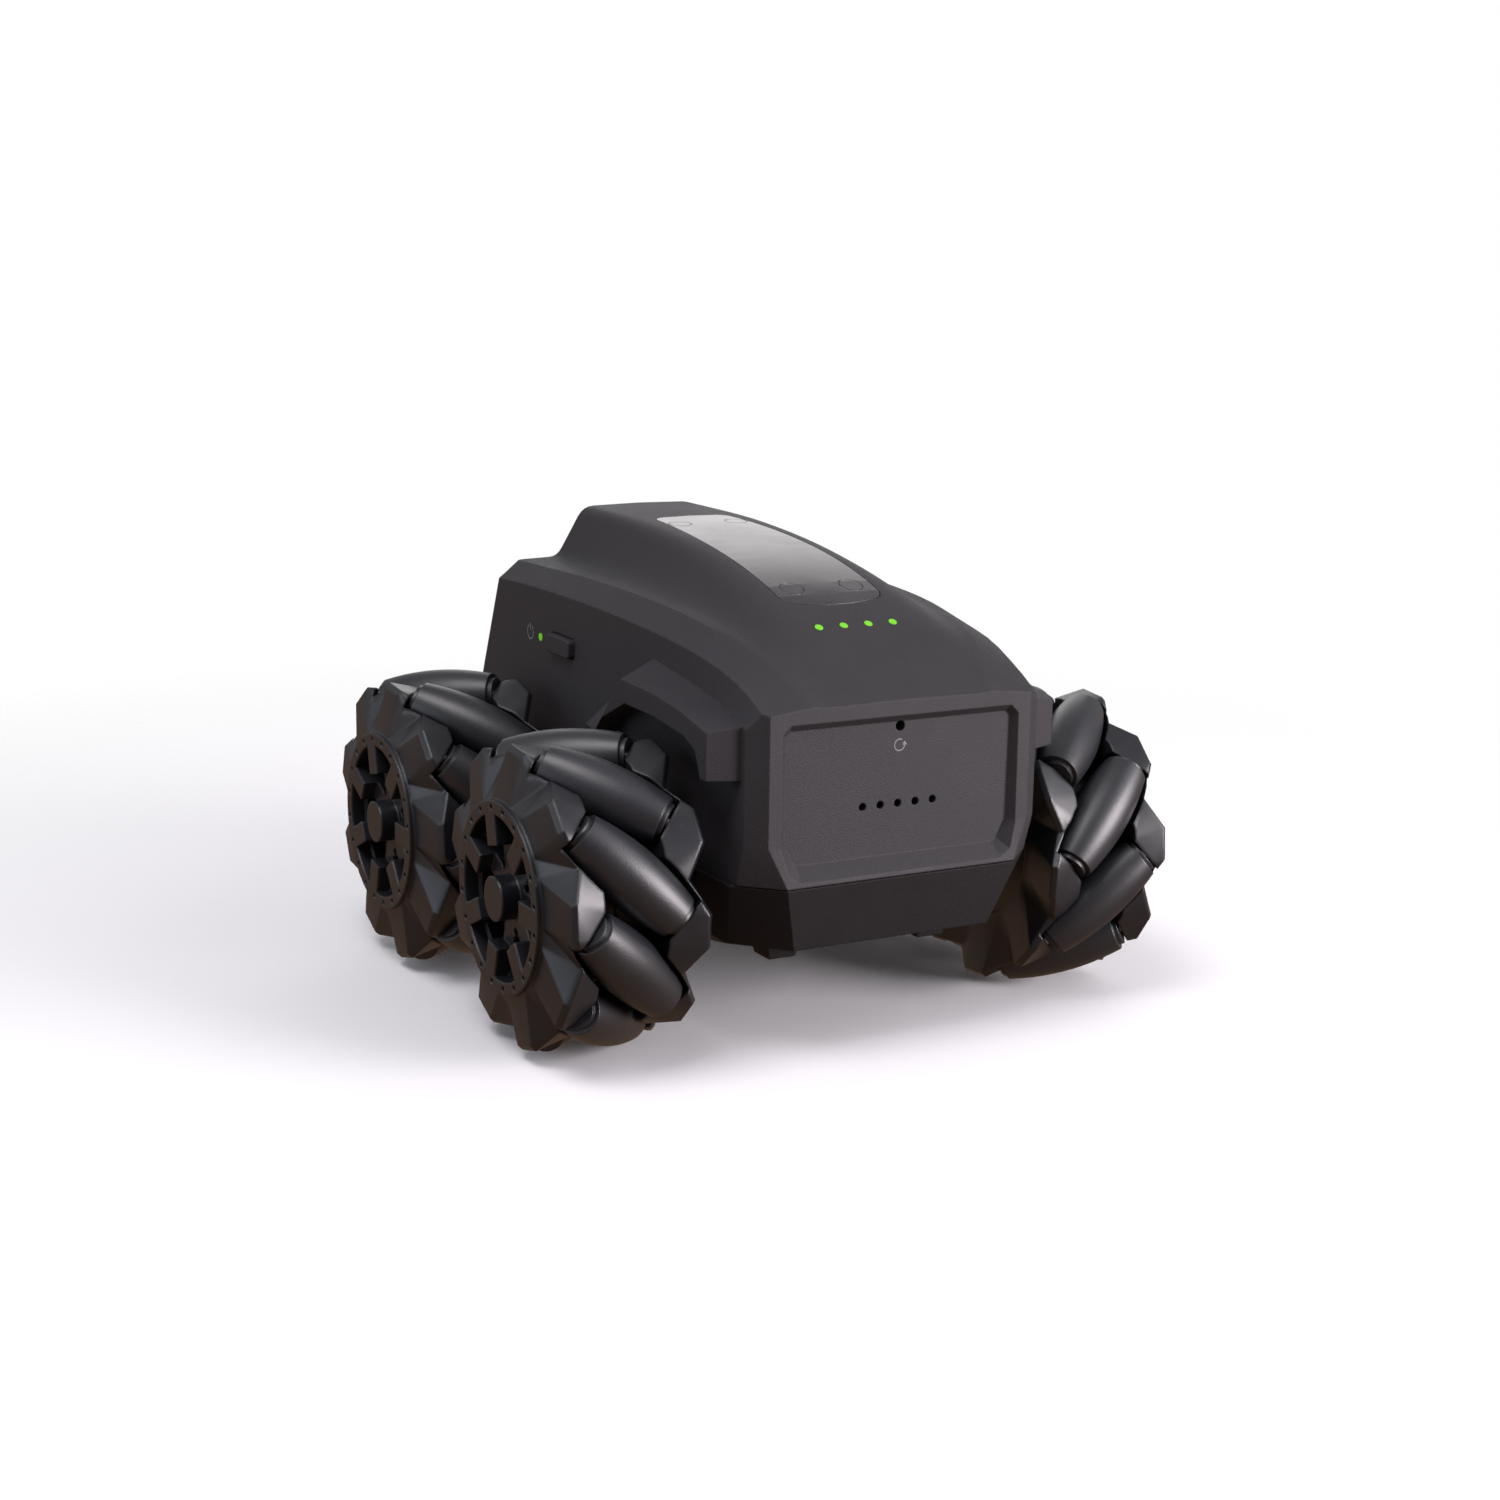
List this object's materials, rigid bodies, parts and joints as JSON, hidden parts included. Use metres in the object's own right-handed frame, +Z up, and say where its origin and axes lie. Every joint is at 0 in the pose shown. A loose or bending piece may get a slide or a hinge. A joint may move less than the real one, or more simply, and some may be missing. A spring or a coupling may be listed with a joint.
{
  "type": "mecanum wheel robot",
  "caption": "Palm-size four-wheel omnidirectional robot with angled free-rolling rollers on its wheels, a ridged two-part shell, rear charging contacts and a power button.",
  "frame": {"origin": "on the ground under the middle of the bounding box", "axes": "+X forward (camera end), +Y to the left side with the power button, +Z up"},
  "size_m": [0.105, 0.1062, 0.0708],
  "materials": {
    "shell": "fine charcoal texture",
    "lid": "satin charcoal lid",
    "wheel": "blue-black satin plastic",
    "roller": "smooth dark rubber",
    "steel": "bright turned steel",
    "button": "fine texture",
    "led": "lime green light pipe",
    "gold": "plated contact",
    "window": "smoked gloss",
    "camera": "black",
    "board": "green laminate",
    "battery": "blue wrap",
    "motor": "yellow gearbox"
  },
  "bodies": {
    "chassis": {"upper_shell": "shell", "lower_shell": "shell", "top_lid": "lid", "status_lights": "led", "charge_contacts": "gold", "camera_window": "window", "camera_module": "camera", "circuit_board": "board", "battery": "battery", "drive_motors": "motor", "case_screws": "steel"},
    "power_button": {"power_button": "button"},
    "rear_left_wheel": {"wheel_outer_rl": "wheel", "wheel_inner_rl": "wheel", "wheel_pins_rl": "steel"},
    "roller_1_rl": {"roller_1_rl": "roller"},
    "roller_2_rl": {"roller_2_rl": "roller"},
    "roller_3_rl": {"roller_3_rl": "roller"},
    "roller_4_rl": {"roller_4_rl": "roller"},
    "roller_5_rl": {"roller_5_rl": "roller"},
    "roller_6_rl": {"roller_6_rl": "roller"},
    "roller_7_rl": {"roller_7_rl": "roller"},
    "roller_8_rl": {"roller_8_rl": "roller"},
    "roller_9_rl": {"roller_9_rl": "roller"},
    "rear_right_wheel": {"wheel_outer_rr": "wheel", "wheel_inner_rr": "wheel", "wheel_pins_rr": "steel"},
    "roller_1_rr": {"roller_1_rr": "roller"},
    "roller_2_rr": {"roller_2_rr": "roller"},
    "roller_3_rr": {"roller_3_rr": "roller"},
    "roller_4_rr": {"roller_4_rr": "roller"},
    "roller_5_rr": {"roller_5_rr": "roller"},
    "roller_6_rr": {"roller_6_rr": "roller"},
    "roller_7_rr": {"roller_7_rr": "roller"},
    "roller_8_rr": {"roller_8_rr": "roller"},
    "roller_9_rr": {"roller_9_rr": "roller"},
    "front_left_wheel": {"wheel_outer_fl": "wheel", "wheel_inner_fl": "wheel", "wheel_pins_fl": "steel"},
    "roller_1_fl": {"roller_1_fl": "roller"},
    "roller_2_fl": {"roller_2_fl": "roller"},
    "roller_3_fl": {"roller_3_fl": "roller"},
    "roller_4_fl": {"roller_4_fl": "roller"},
    "roller_5_fl": {"roller_5_fl": "roller"},
    "roller_6_fl": {"roller_6_fl": "roller"},
    "roller_7_fl": {"roller_7_fl": "roller"},
    "roller_8_fl": {"roller_8_fl": "roller"},
    "roller_9_fl": {"roller_9_fl": "roller"},
    "front_right_wheel": {"wheel_outer_fr": "wheel", "wheel_inner_fr": "wheel", "wheel_pins_fr": "steel"},
    "roller_1_fr": {"roller_1_fr": "roller"},
    "roller_2_fr": {"roller_2_fr": "roller"},
    "roller_3_fr": {"roller_3_fr": "roller"},
    "roller_4_fr": {"roller_4_fr": "roller"},
    "roller_5_fr": {"roller_5_fr": "roller"},
    "roller_6_fr": {"roller_6_fr": "roller"},
    "roller_7_fr": {"roller_7_fr": "roller"},
    "roller_8_fr": {"roller_8_fr": "roller"},
    "roller_9_fr": {"roller_9_fr": "roller"}
  },
  "joints": [
    {"name": "rear_left_wheel_spin", "type": "hinge", "parent": "chassis", "child": "rear_left_wheel", "pos_m": [-0.027, 0.0403, 0.0234], "axis": [0, 1, 0], "continuous": true},
    {"name": "rear_right_wheel_spin", "type": "hinge", "parent": "chassis", "child": "rear_right_wheel", "pos_m": [-0.027, -0.0403, 0.0234], "axis": [0, 1, 0], "continuous": true},
    {"name": "front_left_wheel_spin", "type": "hinge", "parent": "chassis", "child": "front_left_wheel", "pos_m": [0.0214, 0.0403, 0.0234], "axis": [0, 1, 0], "continuous": true},
    {"name": "front_right_wheel_spin", "type": "hinge", "parent": "chassis", "child": "front_right_wheel", "pos_m": [0.0214, -0.0403, 0.0234], "axis": [0, 1, 0], "continuous": true},
    {"name": "power_button_press", "type": "slide", "parent": "chassis", "child": "power_button", "axis": [0, -1, 0], "range_m": [0, 0.0006], "stiffness_N_per_m": 900, "springref_m": -0.0003},
    {"name": "roller_1_rl_roll", "type": "hinge", "parent": "rear_left_wheel", "child": "roller_1_rl", "pos_m": [-0.04476, 0.0403, 0.02986], "axis": [0.2418, 0.7071, 0.6645], "continuous": true},
    {"name": "roller_2_rl_roll", "type": "hinge", "parent": "rear_left_wheel", "child": "roller_2_rl", "pos_m": [-0.03645, 0.0403, 0.03977], "axis": [0.6124, 0.7071, 0.3536], "continuous": true},
    {"name": "roller_3_rl_roll", "type": "hinge", "parent": "rear_left_wheel", "child": "roller_3_rl", "pos_m": [-0.02372, 0.0403, 0.04201], "axis": [0.6964, 0.7071, -0.1228], "continuous": true},
    {"name": "roller_4_rl_roll", "type": "hinge", "parent": "rear_left_wheel", "child": "roller_4_rl", "pos_m": [-0.01252, 0.0403, 0.03555], "axis": [0.4545, 0.7071, -0.5417], "continuous": true},
    {"name": "roller_5_rl_roll", "type": "hinge", "parent": "rear_left_wheel", "child": "roller_5_rl", "pos_m": [-0.0081, 0.0403, 0.0234], "axis": [0, 0.7071, -0.7071], "continuous": true},
    {"name": "roller_6_rl_roll", "type": "hinge", "parent": "rear_left_wheel", "child": "roller_6_rl", "pos_m": [-0.01252, 0.0403, 0.01125], "axis": [-0.4545, 0.7071, -0.5417], "continuous": true},
    {"name": "roller_7_rl_roll", "type": "hinge", "parent": "rear_left_wheel", "child": "roller_7_rl", "pos_m": [-0.02372, 0.0403, 0.00479], "axis": [-0.6964, 0.7071, -0.1228], "continuous": true},
    {"name": "roller_8_rl_roll", "type": "hinge", "parent": "rear_left_wheel", "child": "roller_8_rl", "pos_m": [-0.03645, 0.0403, 0.00703], "axis": [-0.6124, 0.7071, 0.3536], "continuous": true},
    {"name": "roller_9_rl_roll", "type": "hinge", "parent": "rear_left_wheel", "child": "roller_9_rl", "pos_m": [-0.04476, 0.0403, 0.01694], "axis": [-0.2418, 0.7071, 0.6645], "continuous": true},
    {"name": "roller_1_rr_roll", "type": "hinge", "parent": "rear_right_wheel", "child": "roller_1_rr", "pos_m": [-0.04476, -0.0403, 0.02986], "axis": [0.2418, -0.7071, 0.6645], "continuous": true},
    {"name": "roller_2_rr_roll", "type": "hinge", "parent": "rear_right_wheel", "child": "roller_2_rr", "pos_m": [-0.03645, -0.0403, 0.03977], "axis": [0.6124, -0.7071, 0.3536], "continuous": true},
    {"name": "roller_3_rr_roll", "type": "hinge", "parent": "rear_right_wheel", "child": "roller_3_rr", "pos_m": [-0.02372, -0.0403, 0.04201], "axis": [0.6964, -0.7071, -0.1228], "continuous": true},
    {"name": "roller_4_rr_roll", "type": "hinge", "parent": "rear_right_wheel", "child": "roller_4_rr", "pos_m": [-0.01252, -0.0403, 0.03555], "axis": [0.4545, -0.7071, -0.5417], "continuous": true},
    {"name": "roller_5_rr_roll", "type": "hinge", "parent": "rear_right_wheel", "child": "roller_5_rr", "pos_m": [-0.0081, -0.0403, 0.0234], "axis": [0, -0.7071, -0.7071], "continuous": true},
    {"name": "roller_6_rr_roll", "type": "hinge", "parent": "rear_right_wheel", "child": "roller_6_rr", "pos_m": [-0.01252, -0.0403, 0.01125], "axis": [-0.4545, -0.7071, -0.5417], "continuous": true},
    {"name": "roller_7_rr_roll", "type": "hinge", "parent": "rear_right_wheel", "child": "roller_7_rr", "pos_m": [-0.02372, -0.0403, 0.00479], "axis": [-0.6964, -0.7071, -0.1228], "continuous": true},
    {"name": "roller_8_rr_roll", "type": "hinge", "parent": "rear_right_wheel", "child": "roller_8_rr", "pos_m": [-0.03645, -0.0403, 0.00703], "axis": [-0.6124, -0.7071, 0.3536], "continuous": true},
    {"name": "roller_9_rr_roll", "type": "hinge", "parent": "rear_right_wheel", "child": "roller_9_rr", "pos_m": [-0.04476, -0.0403, 0.01694], "axis": [-0.2418, -0.7071, 0.6645], "continuous": true},
    {"name": "roller_1_fl_roll", "type": "hinge", "parent": "front_left_wheel", "child": "roller_1_fl", "pos_m": [0.00364, 0.0403, 0.02986], "axis": [0.2418, 0.7071, 0.6645], "continuous": true},
    {"name": "roller_2_fl_roll", "type": "hinge", "parent": "front_left_wheel", "child": "roller_2_fl", "pos_m": [0.01195, 0.0403, 0.03977], "axis": [0.6124, 0.7071, 0.3536], "continuous": true},
    {"name": "roller_3_fl_roll", "type": "hinge", "parent": "front_left_wheel", "child": "roller_3_fl", "pos_m": [0.02468, 0.0403, 0.04201], "axis": [0.6964, 0.7071, -0.1228], "continuous": true},
    {"name": "roller_4_fl_roll", "type": "hinge", "parent": "front_left_wheel", "child": "roller_4_fl", "pos_m": [0.03588, 0.0403, 0.03555], "axis": [0.4545, 0.7071, -0.5417], "continuous": true},
    {"name": "roller_5_fl_roll", "type": "hinge", "parent": "front_left_wheel", "child": "roller_5_fl", "pos_m": [0.0403, 0.0403, 0.0234], "axis": [0, 0.7071, -0.7071], "continuous": true},
    {"name": "roller_6_fl_roll", "type": "hinge", "parent": "front_left_wheel", "child": "roller_6_fl", "pos_m": [0.03588, 0.0403, 0.01125], "axis": [-0.4545, 0.7071, -0.5417], "continuous": true},
    {"name": "roller_7_fl_roll", "type": "hinge", "parent": "front_left_wheel", "child": "roller_7_fl", "pos_m": [0.02468, 0.0403, 0.00479], "axis": [-0.6964, 0.7071, -0.1228], "continuous": true},
    {"name": "roller_8_fl_roll", "type": "hinge", "parent": "front_left_wheel", "child": "roller_8_fl", "pos_m": [0.01195, 0.0403, 0.00703], "axis": [-0.6124, 0.7071, 0.3536], "continuous": true},
    {"name": "roller_9_fl_roll", "type": "hinge", "parent": "front_left_wheel", "child": "roller_9_fl", "pos_m": [0.00364, 0.0403, 0.01694], "axis": [-0.2418, 0.7071, 0.6645], "continuous": true},
    {"name": "roller_1_fr_roll", "type": "hinge", "parent": "front_right_wheel", "child": "roller_1_fr", "pos_m": [0.00364, -0.0403, 0.02986], "axis": [0.2418, -0.7071, 0.6645], "continuous": true},
    {"name": "roller_2_fr_roll", "type": "hinge", "parent": "front_right_wheel", "child": "roller_2_fr", "pos_m": [0.01195, -0.0403, 0.03977], "axis": [0.6124, -0.7071, 0.3536], "continuous": true},
    {"name": "roller_3_fr_roll", "type": "hinge", "parent": "front_right_wheel", "child": "roller_3_fr", "pos_m": [0.02468, -0.0403, 0.04201], "axis": [0.6964, -0.7071, -0.1228], "continuous": true},
    {"name": "roller_4_fr_roll", "type": "hinge", "parent": "front_right_wheel", "child": "roller_4_fr", "pos_m": [0.03588, -0.0403, 0.03555], "axis": [0.4545, -0.7071, -0.5417], "continuous": true},
    {"name": "roller_5_fr_roll", "type": "hinge", "parent": "front_right_wheel", "child": "roller_5_fr", "pos_m": [0.0403, -0.0403, 0.0234], "axis": [0, -0.7071, -0.7071], "continuous": true},
    {"name": "roller_6_fr_roll", "type": "hinge", "parent": "front_right_wheel", "child": "roller_6_fr", "pos_m": [0.03588, -0.0403, 0.01125], "axis": [-0.4545, -0.7071, -0.5417], "continuous": true},
    {"name": "roller_7_fr_roll", "type": "hinge", "parent": "front_right_wheel", "child": "roller_7_fr", "pos_m": [0.02468, -0.0403, 0.00479], "axis": [-0.6964, -0.7071, -0.1228], "continuous": true},
    {"name": "roller_8_fr_roll", "type": "hinge", "parent": "front_right_wheel", "child": "roller_8_fr", "pos_m": [0.01195, -0.0403, 0.00703], "axis": [-0.6124, -0.7071, 0.3536], "continuous": true},
    {"name": "roller_9_fr_roll", "type": "hinge", "parent": "front_right_wheel", "child": "roller_9_fr", "pos_m": [0.00364, -0.0403, 0.01694], "axis": [-0.2418, -0.7071, 0.6645], "continuous": true}
  ]
}
